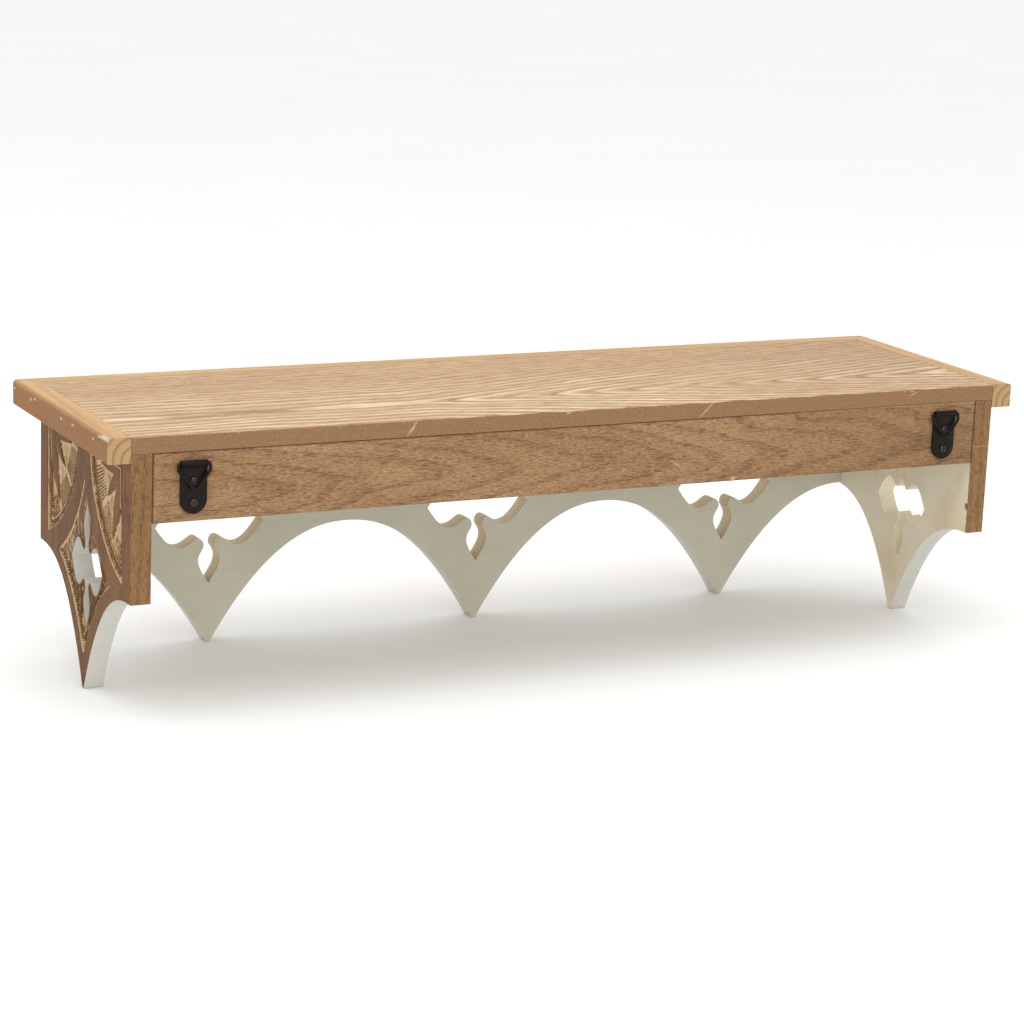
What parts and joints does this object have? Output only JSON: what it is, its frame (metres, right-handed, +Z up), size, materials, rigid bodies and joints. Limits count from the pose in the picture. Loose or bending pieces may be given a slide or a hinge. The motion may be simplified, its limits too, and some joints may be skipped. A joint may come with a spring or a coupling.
{
  "type": "wall shelf with brackets",
  "caption": "Wall shelf: trimmed board on carved side brackets with pierced leaf-cross openings, an arched apron, a back rail and swinging ring hangers on its wall side.",
  "frame": {"origin": "centre of the top board's wall edge", "axes": "+X along the shelf to the right as seen from the front, +Y into the wall, +Z up; the front faces -Y"},
  "size_m": [0.9144, 0.2754, 0.254],
  "materials": {
    "limed_oak_veneer": "matt limed oak veneer with pale open grain",
    "honey_pine": "satin honey pine, stained brown on its outer faces",
    "carved_brown_wood": "brown stain with whitewash rubbed into the carving outside, cream paint inside",
    "carved_cream_wood": "cream satin paint behind, brown stain with whitewashed carving in front",
    "brown_stained_wood": "matt medium brown stain, open grain",
    "black_painted_steel": "black paint, semi-gloss",
    "black_screw": "black, semi-gloss",
    "dowel_beech": "bare beech",
    "nail_steel": "bright steel"
  },
  "bodies": {
    "shelf": {"top_board": "limed_oak_veneer", "front_trim": "honey_pine", "left_trim": "honey_pine", "right_trim": "honey_pine", "left_bracket": "carved_brown_wood", "right_bracket": "carved_brown_wood", "front_apron": "carved_cream_wood", "back_rail": "brown_stained_wood", "left_hanger_strap": "black_painted_steel", "left_hanger_screw_upper": "black_screw", "left_hanger_screw_lower": "black_screw", "right_hanger_strap": "black_painted_steel", "right_hanger_screw_upper": "black_screw", "right_hanger_screw_lower": "black_screw", "rail_dowel_left_upper": "dowel_beech", "rail_dowel_left_lower": "dowel_beech", "rail_dowel_right_upper": "dowel_beech", "rail_dowel_right_lower": "dowel_beech", "apron_dowel_left_upper": "dowel_beech", "apron_dowel_left_lower": "dowel_beech", "apron_dowel_right_upper": "dowel_beech", "apron_dowel_right_lower": "dowel_beech", "bracket_dowel_left_rear": "dowel_beech", "bracket_dowel_left_front": "dowel_beech", "bracket_dowel_right_rear": "dowel_beech", "bracket_dowel_right_front": "dowel_beech", "back_rail_top_dowel_left": "dowel_beech", "back_rail_top_dowel_middle": "dowel_beech", "back_rail_top_dowel_right": "dowel_beech", "front_apron_top_dowel_left": "dowel_beech", "front_apron_top_dowel_middle": "dowel_beech", "front_apron_top_dowel_right": "dowel_beech", "front_trim_nail_1": "nail_steel", "front_trim_nail_2": "nail_steel", "front_trim_nail_3": "nail_steel", "front_trim_nail_4": "nail_steel", "left_trim_nail_1": "nail_steel", "left_trim_nail_2": "nail_steel", "left_trim_nail_3": "nail_steel", "right_trim_nail_1": "nail_steel", "right_trim_nail_2": "nail_steel", "right_trim_nail_3": "nail_steel"},
    "left_ring": {"left_hanger_ring": "black_painted_steel"},
    "right_ring": {"right_hanger_ring": "black_painted_steel"}
  },
  "joints": [
    {"name": "left_ring_swing", "type": "hinge", "parent": "shelf", "child": "left_ring", "pos_m": [-0.381, 0.00305, -0.01725], "axis": [1, 0, 0], "range_deg": [0, 168]},
    {"name": "right_ring_swing", "type": "hinge", "parent": "shelf", "child": "right_ring", "pos_m": [0.381, 0.00305, -0.01725], "axis": [1, 0, 0], "range_deg": [0, 168]}
  ]
}
